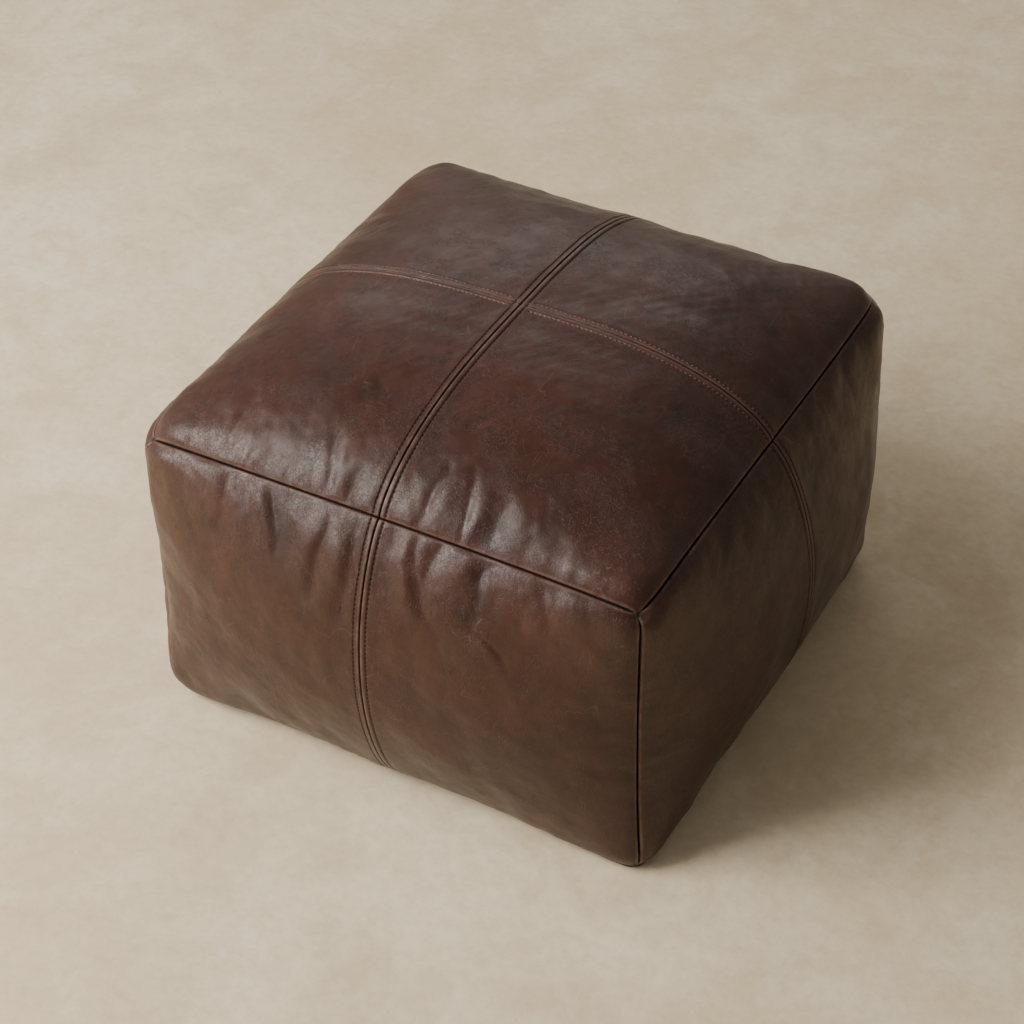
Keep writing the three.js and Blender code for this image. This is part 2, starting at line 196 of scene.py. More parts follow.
def add_object(name, points, polygons, material, attributes=None):
    """A mesh object from points and several arrays of faces, each with its own side count."""
    mesh = bpy.data.meshes.new(name)
    corners = np.concatenate([np.asarray(f, np.int32).ravel() for f in polygons])
    sides = np.concatenate([np.full(len(f), np.shape(f)[1], np.int32) for f in polygons])
    mesh.vertices.add(len(points))
    mesh.vertices.foreach_set("co", np.asarray(points, np.float32).ravel())
    mesh.loops.add(len(corners))
    mesh.loops.foreach_set("vertex_index", corners)
    mesh.polygons.add(len(sides))
    mesh.polygons.foreach_set("loop_start", np.cumsum(sides, dtype=np.int32) - sides)
    mesh.polygons.foreach_set("use_smooth", np.ones(len(sides), bool))
    mesh.materials.append(material)
    for key, values in (attributes or {}).items():
        attribute = mesh.attributes.new(key, "FLOAT", "POINT")
        attribute.data.foreach_set("value", np.asarray(values, np.float32))
    mesh.update(calc_edges=True)
    mesh.validate()
    piece = bpy.data.objects.new(name, mesh)
    bpy.context.scene.collection.objects.link(piece)
    return piece


def grid_quads(rows, columns):
    """Quads of a grid stored row by row, facing the side that sees columns run right and rows up."""
    j, i = np.meshgrid(np.arange(rows - 1), np.arange(columns - 1), indexing="ij")
    a = j * columns + i
    return np.stack([a, a + 1, a + columns + 1, a + columns], axis=-1).reshape(-1, 4)


# ---- cloth simulation of the whole cover ------------------------------------------------------

SIM_STEPS = 76  # grid cells across a face
SIM_STEPS_UP = 46  # and up a side
SIM_FRAMES = 18
SIM_GROWTH = 0.018  # spare leather that has to pucker at the seams
SIM_CAP = 0.020  # the farthest that a point may move
SIM_SHARE = 0.55  # how much of the gathers is used
SIM_REACH = 0.060  # how far from a seam its gathers are kept
SIM_PRESSURE = 4


def sim_lines(face):
    """Where the simulated grid's lines lie across and up a face."""
    up = SIM_STEPS if face in ("top", "bottom") else SIM_STEPS_UP
    return np.linspace(-1, 1, SIM_STEPS + 1), np.linspace(-1, 1, up + 1)


def simulate_cover():
    """Inflates a closed cover whose seams are held, and returns each face's grid of moves."""
    starts, all_points, all_quads = {}, [], []
    count = 0
    for face in FACES:
        u, v = sim_lines(face)
        points = form(face, u[None, :], v[:, None])
        all_points.append(points.reshape(-1, 3))
        all_quads.append(grid_quads(len(v), len(u)) + count)
        starts[face] = (count, points.shape)
        count += points.shape[0] * points.shape[1]
    points = np.concatenate(all_points)
    _, first, index = np.unique(np.round(points, 6), axis=0, return_index=True, return_inverse=True)
    index = index.ravel()
    cover = add_object("cover_sim", points[first], [index[np.concatenate(all_quads)]], None)

    held = cover.vertex_groups.new(name="held")
    sewn = cover.vertex_groups.new(name="sewn")
    for face, (start, shape) in starts.items():
        numbers = index[start:start + shape[0] * shape[1]].reshape(shape[:2])
        edge = np.concatenate([numbers[0], numbers[-1], numbers[:, 0], numbers[:, -1]])
        held.add(numbers.ravel().tolist() if face == "bottom" else edge.tolist(), 1.0, "REPLACE")
        seam = list(numbers[:, shape[1] // 2])
        if face == "top":
            seam += list(numbers[shape[0] // 2])
        sewn.add([int(n) for n in seam], 1.0, "REPLACE")

    modifier = cover.modifiers.new("cloth", "CLOTH")
    cloth = modifier.settings
    cloth.quality = 6
    cloth.mass = 0.4
    cloth.tension_stiffness = cloth.compression_stiffness = 30
    cloth.shear_stiffness = 12
    cloth.bending_stiffness = 0.6
    cloth.tension_damping = cloth.compression_damping = 20
    cloth.air_damping = 3
    cloth.use_pressure = True
    cloth.uniform_pressure_force = SIM_PRESSURE
    cloth.vertex_group_mass = "held"
    cloth.vertex_group_shrink = "sewn"
    cloth.shrink_min = -SIM_GROWTH
    cloth.shrink_max = 0.0
    cloth.effector_weights.gravity = 0
    modifier.collision_settings.use_collision = False
    scene = bpy.context.scene
    for number in range(1, SIM_FRAMES + 1):
        scene.frame_set(number)
    solved = cover.evaluated_get(bpy.context.evaluated_depsgraph_get()).data
    after = np.empty(len(first) * 3, np.float32)
    solved.vertices.foreach_get("co", after)
    scene.frame_set(1)
    moves = after.reshape(-1, 3) - points[first]
    length = np.linalg.norm(moves, axis=1, keepdims=True)
    moves *= np.minimum(1, SIM_CAP / np.maximum(length, 1e-9))
    mesh = cover.data
    bpy.data.objects.remove(cover)
    bpy.data.meshes.remove(mesh)
    return {
        face: moves[index[start:start + shape[0] * shape[1]]].reshape(shape)
        for face, (start, shape) in starts.items()
    }


def blurred(grid, cells, axis):
    """The grid smoothed along one axis over about that many cells."""
    place = np.arange(grid.shape[axis])
    weight = np.exp(-((place[:, None] - place[None, :]) / cells) ** 2 / 2)
    weight /= weight.sum(axis=1, keepdims=True)
    return np.moveaxis(np.tensordot(weight, grid, (1, axis)), 0, axis)


# ---- wrinkles -----------------------------------------------------------------------------------

def waves(seed, shortest, longest, x, y, stretch=1.0, count=14):
    """Smooth random waves between two wavelengths in metres, of about unit size. With stretch
    over 1 they run longer along y."""
    random = np.random.default_rng(seed)
    total = np.zeros(np.broadcast(x, y).shape)
    for _ in range(count):
        length = math.exp(random.uniform(math.log(shortest), math.log(longest)))
        turn = random.uniform(0, 2 * math.pi)
        phase = random.uniform(0, 2 * math.pi)
        total += np.sin(2 * math.pi / length * (x * math.cos(turn) + y * math.sin(turn) / stretch) + phase)
    return total * math.sqrt(2 / count)


def lobes(wave, sharp=0.05):
    """Round ridges with narrow valleys between them, from a smooth wave."""
    return np.sqrt(wave ** 2 + sharp) - math.sqrt(sharp) - 0.55


def puckers(seed, along, away):
    """Height of the gathers beside a plain seam, in metres."""
    spread = along * (1 - 0.25 * np.exp(-away / 0.03))
    broad = lobes(waves(seed, 0.05, 0.10, spread, away, 6))
    medium = lobes(waves(seed + 1, 0.026, 0.045, along, away, 4))
    fine = waves(seed + 2, 0.007, 0.013, along, away, 3)
    where = np.clip(0.55 + 0.5 * waves(seed + 3, 0.09, 0.2, along, away, 1), 0.05, 1.3)
    crisp = np.clip(waves(seed + 4, 0.03, 0.07, along, away, 1), 0, 1.5)
    height = 1.0 * MM * broad * np.exp(-away / 0.045)
    height = height + 0.7 * MM * medium * where * np.exp(-away / 0.024)
    height = height + 0.11 * MM * fine * crisp * np.exp(-away / 0.022)
    return height * (1 - np.exp(-away / 0.005))


# ---- panels -------------------------------------------------------------------------------------

SEAM_GAP = 0.12 * MM
PLAIN_DEPTH = 6.5 * MM  # how deep a turned edge reaches
PRESSED_DEPTH = 4.5 * MM
ZIP_DEPTH = 1.4 * MM
COARSE = 9  # every so many lines has one on the inner side
FINE_STEP = 1.2 * MM  # a quarter of a stitch, along a stitched row
WIDE_STEP = 2.2 * MM
WINDOW_HALF = 6 * MM
WINDOW_LENGTH = 0.204
NEAR = 12 * MM  # the closely spaced lines reach this far
END_HOLES = (2.4, 7.2)  # a row's first holes from its end, in millimetres
ROW_LINE = 6.4  # and the row's line beside its seam
CROSSING = 8 * MM  # no holes of the crossed seam's rows this near the seam that runs over it
CALM_SHARE = 0.85  # how much of the relief a pressed seam takes away
CALM_REACH = 9 * MM
COARSE_MARGIN = 6
ZIP_DENT = 0.25 * MM  # the dent along the stitches beside the zip
ZIP_DENT_AT = 4 * MM
DENT_WIDTH = 0.8 * MM
BESIDE_STITCHES = [2.4, 3.0, 3.6, 4.2, 4.7, 5.2, 5.6, 6.0, 6.4, 6.8, 7.2, 7.7, 8.3, 9.0, 9.8, 10.8, 12]
BESIDE_PLAIN = [3.0, 3.7, 4.5, 5.3, 6.2, 7.2, 8.3, 9.5, 10.7, 12]

# Each panel: its node, its face, and the part of the face that it covers across and up
PANELS = [
    ("top_panel_front_left", "top", (-1, 0), (-1, 0)),
    ("top_panel_front_right", "top", (0, 1), (-1, 0)),
    ("top_panel_back_left", "top", (-1, 0), (0, 1)),
    ("top_panel_back_right", "top", (0, 1), (0, 1)),
    ("front_panel_left", "front", (-1, 0), (-1, 1)),
    ("front_panel_right", "front", (0, 1), (-1, 1)),
    ("right_panel_front", "right", (-1, 0), (-1, 1)),
    ("right_panel_back", "right", (0, 1), (-1, 1)),
    ("back_panel_right", "back", (-1, 0), (-1, 1)),
    ("back_panel_left", "back", (0, 1), (-1, 1)),
    ("left_panel_back", "left", (-1, 0), (-1, 1)),
    ("left_panel_front", "left", (0, 1), (-1, 1)),
    ("bottom_panel_back", "bottom", (-1, 1), (-1, 0)),
    ("bottom_panel_front", "bottom", (-1, 1), (0, 1)),
]

# How strongly each edge of a face is gathered: at u = -1, u = 1, v = -1 and v = 1
GATHERS = {
    "top": (0.6, 0.35, 1.1, 0.3),
    "front": (0.45, 0.45, 0.5, 1.35),
    "right": (0.3, 0.35, 0.45, 0.6),
    "back": (0.45, 0.4, 0.5, 0.9),
    "left": (0.4, 0.45, 0.5, 0.9),
    "bottom": (0.25, 0.25, 0.25, 0.25),
}

PUFF = 9 * MM  # the leather swells beside each corner
PUFF_RISE = 9 * MM
PUFF_REACH = 75 * MM


def turned_edge(radius, depth):
    """Lines over a turned edge, as [distance from the seam, depth below the surface]: the wall
    that was turned in, and the rounded lip."""
    lines = [(SEAM_GAP, depth), (SEAM_GAP, (depth + radius) / 2)]
    steps = 5
    for k in range(steps + 1):
        angle = k / steps * math.pi / 2
        lines.append((SEAM_GAP + radius * (1 - math.cos(angle)), radius * (1 - math.sin(angle))))
    return lines


class Edge:
    """How a panel ends at one of its sides: its lines' distances from the seam and their depths."""

    def __init__(self, kind):
        radius, depth, near = {
            "plain": (2.4 * MM, PLAIN_DEPTH, BESIDE_PLAIN),
            "pressed": (1.7 * MM, PRESSED_DEPTH, BESIDE_STITCHES),
            "zip": (0.7 * MM, ZIP_DEPTH, BESIDE_STITCHES),
        }[kind]
        turned = turned_edge(radius, depth)
        self.kind = kind
        self.turned = len(turned)
        self.distance = np.array([d for d, _ in turned] + [d * MM for d in near])
        self.depth = np.array([z for _, z in turned] + [0.0] * len(near))

    def line_at(self, millimetres):
        return int(np.argmin(np.abs(self.distance[self.turned:] - millimetres * MM))) + self.turned


def arc_table(face, along, start, end, fixed):
    """Lengths along the lines of a face at the `fixed` values, from start to end."""
    t = (1 - np.cos(np.linspace(0, math.pi, 500))) / 2
    at = start + (end - start) * t
    if along == "u":
        points = form(face, at[None, :], fixed[:, None])
    else:
        points = form(face, fixed[:, None], at[None, :])
    steps = np.linalg.norm(np.diff(points, axis=1), axis=-1)
    lengths = np.concatenate([np.zeros((len(fixed), 1)), np.cumsum(steps, axis=1)], axis=1)
    return at, lengths


def spread_lines(face, along, start, end, first, last, fixed, step):
    """Places of a panel's lines for each fixed value, and their distances from both ends."""
    at, lengths = arc_table(face, along, start, end, fixed)
    total = lengths[:, -1]
    count = 4 * int(round((total.max() - 2 * NEAR) / (4 * step)))
    share = np.arange(1, count) / count
    between = NEAR + share[None, :] * (total[:, None] - 2 * NEAR)
    from_start = np.concatenate([
        np.broadcast_to(first.distance, (len(fixed), len(first.distance))),
        between,
        total[:, None] - last.distance[::-1][None, :],
    ], axis=1)
    places = np.stack([np.interp(from_start[k], lengths[k], at) for k in range(len(fixed))])
    middle = np.zeros(count - 1)
    depth_first = np.concatenate([first.depth, middle, 0 * last.depth])
    depth_last = np.concatenate([0 * first.depth, middle, last.depth[::-1]])
    return places, from_start, total[:, None] - from_start, depth_first, depth_last


def edge_kind(face, value, along):
    if abs(value) == 1:
        return "plain"
    return "zip" if face == "bottom" and along == "v" else "pressed"


def box_normal(face):
    axis, end = FACES[face][:2]
    n = np.zeros(3)
    n[axis] = end
    return n


def edge_inward(face, along, value, other):
    """The direction into the seam at one side of a panel."""
    if value == 0:
        at = (np.zeros_like(other), other) if along == "u" else (other, np.zeros_like(other))
        return -form_normal(face, *at)
    axis, sign = FACES[face][2:4] if along == "u" else FACES[face][4:6]
    n = box_normal(face)
    n[axis] = value * sign
    return np.broadcast_to(-n / np.linalg.norm(n), (*other.shape, 3))


def pressed_profile(d):
    """Height beside a seam whose edges are pressed open and topstitched."""
    ridge = 0.85 * MM * smooth(7.0 * MM, 4.0 * MM, d)
    dip = -0.18 * MM * np.exp(-((d - STITCH_ROW) / (0.8 * MM)) ** 2)
    outer = 0.40 * MM * smooth(18 * MM, 8.5 * MM, d) * (1 - smooth(7.4 * MM, 5.8 * MM, d))
    return ridge + dip + outer


def hole_lines(first, last, count):
    """Numbers of the lines that stitch holes lie on, along a row."""
    start = len(first.distance) - 1
    regular = list(range(start, count - len(last.distance) + 1, 4))
    from_first = [first.line_at(d) for d in END_HOLES]
    to_last = [count - 1 - last.line_at(d) for d in END_HOLES[::-1]]
    return from_first + regular + to_last


def window(x):
    """Half the width of the zip's opening at x along it."""
    return SEAM_GAP + (WINDOW_HALF - SEAM_GAP) * smooth(WINDOW_LENGTH + 6 * MM, WINDOW_LENGTH - 4 * MM, x)


def face_relief(grid):
    """Height of a panel's gathers, lobes and folds over its smooth form."""
    face = grid.face
    seed = 100 * list(FACES).index(face)
    x = grid.u * HALF
    y = grid.v * (HALF if face in ("top", "bottom") else (TOP_SEAM - BOTTOM_SEAM) / 2)
    height = 0.45 * MM * waves(seed, 0.07, 0.16, x, y) + 0.16 * MM * waves(seed + 1, 0.025, 0.05, x, y)
    height = height + 0.05 * MM * waves(seed + 2, 0.010, 0.018, x, y)
    for number, (away, along) in enumerate(((0, y), (1, y), (2, x), (3, x))):
        strength = GATHERS[face][number]
        height = height + strength * puckers(seed + 10 + 7 * number, along, grid.plain_seams[away])
    for fold in FOLDS.get(face, []):
        height = height + fold_height(x, y, *fold)
    if face != "bottom":
        puff = (1 - np.exp(-grid.near_u / PUFF_RISE)) * (1 - np.exp(-grid.near_v / PUFF_RISE))
        height = height + PUFF * puff * np.exp(-(grid.near_u ** 2 + grid.near_v ** 2) / PUFF_REACH ** 2)
    edge = 1.0
    for away in grid.plain_seams:
        edge = edge * (1 - np.exp(-away / (4 * MM)))
    return height * edge


# Creases put in one by one: (from, to, half width, height, bow), in metres on the face
FOLDS = {
    "front": [
        ((-0.028, 0.142), (-0.044, 0.052), 0.010, 0.0018, 0.004),
        ((-0.052, 0.140), (-0.066, 0.070), 0.009, 0.0016, -0.004),
        ((-0.120, 0.146), (-0.106, 0.092), 0.008, 0.0016, 0.004),
        ((-0.165, 0.146), (-0.176, 0.098), 0.010, 0.0014, 0.003),
        ((0.030, 0.144), (0.052, 0.082), 0.009, 0.0019, -0.005),
        ((0.092, 0.146), (0.086, 0.090), 0.011, 0.0017, 0.003),
        ((0.150, 0.146), (0.162, 0.100), 0.009, 0.0014, 0.003),
        ((0.112, 0.086), (0.138, 0.058), 0.005, 0.0008, 0.004),
    ],
    "top": [
        ((0.050, -0.246), (0.062, -0.200), 0.009, 0.0017, 0.003),
        ((0.088, -0.246), (0.078, -0.192), 0.008, 0.0018, -0.003),
        ((-0.040, -0.246), (-0.052, -0.196), 0.009, 0.0016, 0.003),
        ((-0.150, -0.246), (-0.142, -0.196), 0.010, 0.0014, 0.003),
    ],
}


def fold_height(x, y, start, end, width, height, bow):
    """A soft ridge with a sharper valley beside it, along a slightly bowed line."""
    (x0, y0), (x1, y1) = start, end
    length = math.hypot(x1 - x0, y1 - y0)
    ax, ay = (x1 - x0) / length, (y1 - y0) / length
    t = ((x - x0) * ax + (y - y0) * ay) / length
    across = (x - x0) * -ay + (y - y0) * ax - bow * np.sin(math.pi * np.clip(t, 0, 1))
    reach = width * (1 + 0.6 * np.clip(t, 0, 1))
    ends = smooth(0.62, 0.30, t - 0.5)
    ridge = np.exp(-(across / reach) ** 2)
    valley = np.exp(-((across - 1.1 * reach) / (0.45 * reach)) ** 2)
    return height * ends * (ridge - 0.7 * valley)


# A stitch hole's shape: (lines away from its middle, share of its depth)
HOLE_DEPTH = 0.9 * MM
HOLE_ACROSS = ((-2, 0.2), (-1, 0.7), (0, 1.0), (1, 0.7), (2, 0.2))
HOLE_ALONG = ((-1, 0.45), (0, 1.0), (1, 0.45))

# Where three seams meet, their lips dive and the leather beside them is pulled in
LIP_DEPTH = 2.4 * MM
DIVE_DEPTH = 4.5 * MM
DIVE_REACH = 8 * MM
SINK_DEPTH = 5 * MM
SINK_REACH = 6.5 * MM


def close_inside(outer, inner, rows, columns):
    """Faces from the fine outline of the outside to the coarse outline of the inside."""
    height, width = outer.shape
    quads, triangles = [], []

    def strip(fine, coarse_at, coarse):
        nearest = np.argmin(np.abs(np.arange(len(fine))[:, None] - np.array(coarse_at)[None, :]), axis=1)
        for k in range(len(fine) - 1):
            a, b = nearest[k], nearest[k + 1]
            if a == b:
                triangles.append((fine[k + 1], fine[k], coarse[a]))
            else:
                quads.append((fine[k + 1], fine[k], coarse[a], coarse[b]))

    strip(outer[0], columns, inner[0])
    strip(outer[-1][::-1], [width - 1 - c for c in columns][::-1], inner[-1][::-1])
    strip(outer[:, -1], rows, inner[:, -1])
    strip(outer[::-1, 0], [height - 1 - r for r in rows][::-1], inner[::-1, 0])
    return quads, triangles


def coarse_lines(first, last, count):
    """Numbers of the lines that the inner side of the leather keeps."""
    start = first.turned
    end = count - 1 - last.turned
    middle = np.linspace(start + COARSE_MARGIN, end - COARSE_MARGIN, max(3, (end - start) // COARSE))
    return [start, *np.round(middle).astype(int).tolist(), end]


def row_line(edges, values, count):
    """Number of the line that the stitches beside a pressed seam lie on."""
    if values[0] == 0:
        return edges[0].line_at(ROW_LINE)
    return count - 1 - edges[1].line_at(ROW_LINE)


class PanelGrid:
    """A panel's lines across and up its face, and their distances from its seams."""

    def __init__(self, face, u_range, v_range):
        self.face = face
        self.u_range = u_range
        self.v_range = v_range
        self.u_edges = [Edge(edge_kind(face, value, "u")) for value in u_range]
        self.v_edges = [Edge(edge_kind(face, value, "v")) for value in v_range]
        step_u = FINE_STEP if face == "top" else WIDE_STEP
        step_v = WIDE_STEP if face == "bottom" else FINE_STEP

        # The lines across are spaced along the panel's first seam, and the lines up along them
        rough = np.linspace(*u_range, 3)
        places = spread_lines(face, "v", *v_range, *self.v_edges, rough, step_v)[0][1]
        u, du0, du1, *self.u_depths = spread_lines(face, "u", *u_range, *self.u_edges, places, step_u)
        middle = u[0 if v_range[0] == 0 else -1]
        if v_range == (-1, 1):
            middle = u[len(u) // 2]
        v, dv0, dv1, *self.v_depths = spread_lines(face, "v", *v_range, *self.v_edges, middle, step_v)
        v, dv0, dv1 = v.T, dv0.T, dv1.T
        if face == "bottom":
            toward = 1 if v_range[0] == 0 else -1
            opening = window(u * HALF) / HALF
            v = toward * (opening + (1 - opening) * np.abs(v))
        self.u = u
        self.v = v

        far = np.full(u.shape, 1.0)
        self.plain_seams = [
            du0 if u_range[0] == -1 else far,
            du1 if u_range[1] == 1 else far,
            dv0 if v_range[0] == -1 else far,
            dv1 if v_range[1] == 1 else far,
        ]
        self.near_u = np.minimum(*self.plain_seams[:2])
        self.near_v = np.minimum(*self.plain_seams[2:])
        self.along_seam = far
        self.across_seam = far
        if 0 in u_range:
            self.along_seam = du0 if u_range[0] == 0 else du1
        if 0 in v_range:
            self.across_seam = dv0 if v_range[0] == 0 else dv1
        self.near_pressed = np.minimum(self.along_seam, self.across_seam)

    def pressed_height(self):
        """Height of the topstitched seams, or of the dent along the zip's stitches."""
        if self.face == "bottom":
            return -ZIP_DENT * np.exp(-((self.across_seam - ZIP_DENT_AT) / DENT_WIDTH) ** 2)
        height = pressed_profile(self.along_seam)
        if self.face == "top":
            stops = 1 - smooth(9 * MM, 5 * MM, self.along_seam)
            side = pressed_profile(self.across_seam) * stops
            height = np.maximum(height, side) + np.minimum(0, np.minimum(height, side))
        return height

    def holes(self):
        """Places of its stitch holes in the grid: {side: (row numbers, column numbers)}."""
        rows, columns = self.u.shape
        found = {}
        if 0 in self.u_range:
            at = np.array(hole_lines(*self.v_edges, rows))
            found["u"] = (at, np.full(len(at), row_line(self.u_edges, self.u_range, columns)))
        if self.face == "top":
            row = row_line(self.v_edges, self.v_range, rows)
            at = np.array(hole_lines(*self.u_edges, columns))
            at = at[self.along_seam[row, at] > CROSSING]
            found["v"] = (np.full(len(at), row), at)
        return found

    def turn_in(self, points):
        """Turns the panel's edges into its seams, deeper where three seams meet."""
        for side, values, depths, other, end in (
            ("u", self.u_range, [depth[None, :] for depth in self.u_depths], self.v, self.near_v),
            ("v", self.v_range, [depth[:, None] for depth in self.v_depths], self.u, self.near_u),
        ):
            for value, depth in zip(values, depths):
                dive = DIVE_DEPTH * np.exp(-(end / DIVE_REACH) ** 2) if abs(value) == 1 else 0
                deep = depth + dive * np.minimum(1, depth / LIP_DEPTH)
                points = points + edge_inward(self.face, side, value, other) * deep[..., None]
        return points

    def closed(self, points, normal):
        """The points and faces of the leather with its inner side, closed all round."""
        rows, columns = self.u.shape
        inner_rows = coarse_lines(*self.v_edges, rows)
        inner_columns = coarse_lines(*self.u_edges, columns)
        kept = np.ix_(inner_rows, inner_columns)
        inner = points[kept] - normal[kept] * LEATHER
        outer_index = np.arange(rows * columns).reshape(rows, columns)
        inner_count = len(inner_rows) * len(inner_columns)
        inner_index = outer_index.size + np.arange(inner_count).reshape(inner.shape[:2])
        inside = grid_quads(*inner.shape[:2])[:, ::-1] + outer_index.size
        quads, triangles = close_inside(outer_index, inner_index, inner_rows, inner_columns)
        faces = [grid_quads(rows, columns), inside, np.array(quads), np.array(triangles)]
        return np.concatenate([points.reshape(-1, 3), inner.reshape(-1, 3)]), faces


def hole_pits(shape, holes):
    """The dimples round the stitch holes, 1 at their middles."""
    pits = np.zeros(shape)
    for side, (rows, columns) in holes.items():
        for move, share in HOLE_ACROSS:
            for step, part in HOLE_ALONG:
                at = (rows + step, columns + move) if side == "u" else (rows + move, columns + step)
                pits[at] = np.maximum(pits[at], share * part)
    return pits


def build_panel(node, face, u_range, v_range, moves, material):
    """Makes one panel and returns its stitch rows: {side: (points of the holes, normals)}."""
    grid = PanelGrid(face, u_range, v_range)
    normal = form_normal(face, grid.u, grid.v)
    height = face_relief(grid) * (1 - CALM_SHARE * np.exp(-(grid.near_pressed / CALM_REACH) ** 2))
    if moves is not None:
        height = height + sim_height(grid, moves)
    holes = grid.holes()
    pits = hole_pits(grid.u.shape, holes)
    sink = SINK_DEPTH * np.exp(-(grid.near_u ** 2 + grid.near_v ** 2) / SINK_REACH ** 2)
    height = height + grid.pressed_height() - HOLE_DEPTH * pits - sink
    points = form(face, grid.u, grid.v) + normal * height[..., None]
    points[..., 2] = np.maximum(points[..., 2], 0)
    points = grid.turn_in(points)

    band = np.zeros(grid.u.shape)
    if face == "top":
        band = smooth(7.5 * MM, 5.5 * MM, grid.across_seam)
    seam = np.minimum.reduce([grid.near_u, grid.near_v, grid.near_pressed]) / MM
    everything, faces = grid.closed(points, normal)
    attributes = {}
    for name, values in (("seam", seam), ("relief", height / MM), ("pit", pits), ("band", band)):
        attributes[name] = np.zeros(len(everything))
        attributes[name][:values.size] = values.ravel()
    piece = add_object(node + "_leather", everything, faces, material, attributes)
    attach(piece, "pouf")
    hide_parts(node)
    return {side: (points[at], normal[at]) for side, at in holes.items()}


def sample_grid(grid, u_lines, v_lines, u, v):
    """Reads a smooth grid at u, v with cubic weights."""
    pu = (np.clip(u, -1, 1) - u_lines[0]) / (u_lines[1] - u_lines[0])
    pv = (np.clip(v, -1, 1) - v_lines[0]) / (v_lines[1] - v_lines[0])
    cu = np.clip(np.floor(pu).astype(int), 0, len(u_lines) - 2)
    cv = np.clip(np.floor(pv).astype(int), 0, len(v_lines) - 2)
    total = 0
    for ku, wu in enumerate(cubic(pu - cu)):
        for kv, wv in enumerate(cubic(pv - cv)):
            iu = np.clip(cu + ku - 1, 0, len(u_lines) - 1)
            iv = np.clip(cv + kv - 1, 0, len(v_lines) - 1)
            total = total + grid[iv, iu] * (wu * wv)
    return total


def cubic(t):
    return (
        -0.5 * t + t ** 2 - 0.5 * t ** 3,
        1 - 2.5 * t ** 2 + 1.5 * t ** 3,
        0.5 * t + 2 * t ** 2 - 1.5 * t ** 3,
        -0.5 * t ** 2 + 0.5 * t ** 3,
    )


def sim_height(grid, moves):
    """The gathers that the simulation gave the edges of a panel, without its overall swelling."""
    u_lines, v_lines = sim_lines(grid.face)
    n = form_normal(grid.face, *np.meshgrid(u_lines, v_lines))
    outward = (moves[grid.face] * n).sum(axis=-1)
    outward = blurred(blurred(outward, 0.7, 0), 0.7, 1)
    total = 0.0
    for axis, near, ends in ((1, grid.near_v, grid.near_u), (0, grid.near_u, grid.near_v)):
        gathers = outward - blurred(outward, 6, axis)
        share = np.exp(-(near / SIM_REACH) ** 2) * (1 - np.exp(-(ends / (0.8 * SIM_REACH)) ** 2))
        total = total + share * sample_grid(gathers, u_lines, v_lines, grid.u, grid.v)
    edge = (1 - np.exp(-(grid.near_u / (6 * MM)) ** 2)) * (1 - np.exp(-(grid.near_v / (6 * MM)) ** 2))
    return SIM_SHARE * total * edge * (1 - np.exp(-(grid.near_pressed / (10 * MM)) ** 2))


# ---- stitching ----------------------------------------------------------------------------------

THREAD_RADIUS = 0.50 * MM
THREAD_BOW = 0.75 * MM  # a stitch's middle over its ends
THREAD_SUNK = 0.25 * MM  # its ends under the leather's surface
TAN_RAISED = 0.15 * MM
DASH_SIDES = 8
DASH_STATIONS = 9


def dashes(name, node, holes, normals, material, raised=0.0):
    """A row of stitches, one short bowed thread between each hole and the next."""
    start, end = holes[:-1], holes[1:]
    lift = normals[:-1] + normals[1:]
    lift /= np.linalg.norm(lift, axis=-1, keepdims=True)
    along = end - start
    across = np.cross(lift, along)
    across /= np.linalg.norm(across, axis=-1, keepdims=True)
    t = np.linspace(0, 1, DASH_STATIONS)
    bow = np.sin(math.pi * t) ** 0.7
    taper = 0.55 + 0.45 * np.sin(math.pi * t) ** 0.5
    inset = 0.17 + 0.66 * t
    middle = start[:, None] + along[:, None] * inset[None, :, None]
    rise = raised - THREAD_SUNK + THREAD_BOW * bow
    middle = middle + lift[:, None] * rise[None, :, None]
    turn = np.linspace(0, 2 * math.pi, DASH_SIDES, endpoint=False)
    twist = 1 + 0.14 * np.cos(2 * turn[None, :] - 7.5 * math.pi * t[:, None])
    radius = THREAD_RADIUS * taper[:, None] * twist
    ring = (
        lift[:, None, None] * np.sin(turn)[None, None, :, None]
        + across[:, None, None] * np.cos(turn)[None, None, :, None]
    )
    points = middle[:, :, None] + ring * radius[None, :, :, None]
    return tubes(name, node, points, material)


def tubes(name, node, points, material):
    """Closed tubes from an array [tube, station, side, xyz]."""
    count, stations, sides = points.shape[:3]
    index = np.arange(count * stations * sides).reshape(count, stations, sides)
    a = index[:, :-1]
    b = index[:, 1:]
    quads = np.stack([a, np.roll(a, -1, axis=2), np.roll(b, -1, axis=2), b], axis=-1).reshape(-1, 4)
    faces = [quads, index[:, 0, ::-1], index[:, -1]]
    piece = add_object(name, points.reshape(-1, 3), faces, material)
    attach(piece, "pouf")
    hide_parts(node)
    return piece


# ---- zip ----------------------------------------------------------------------------------------

TAPE_RIB = 1.3 * MM
COIL_PITCH = 1.35 * MM
COIL_WIRE = 0.33 * MM


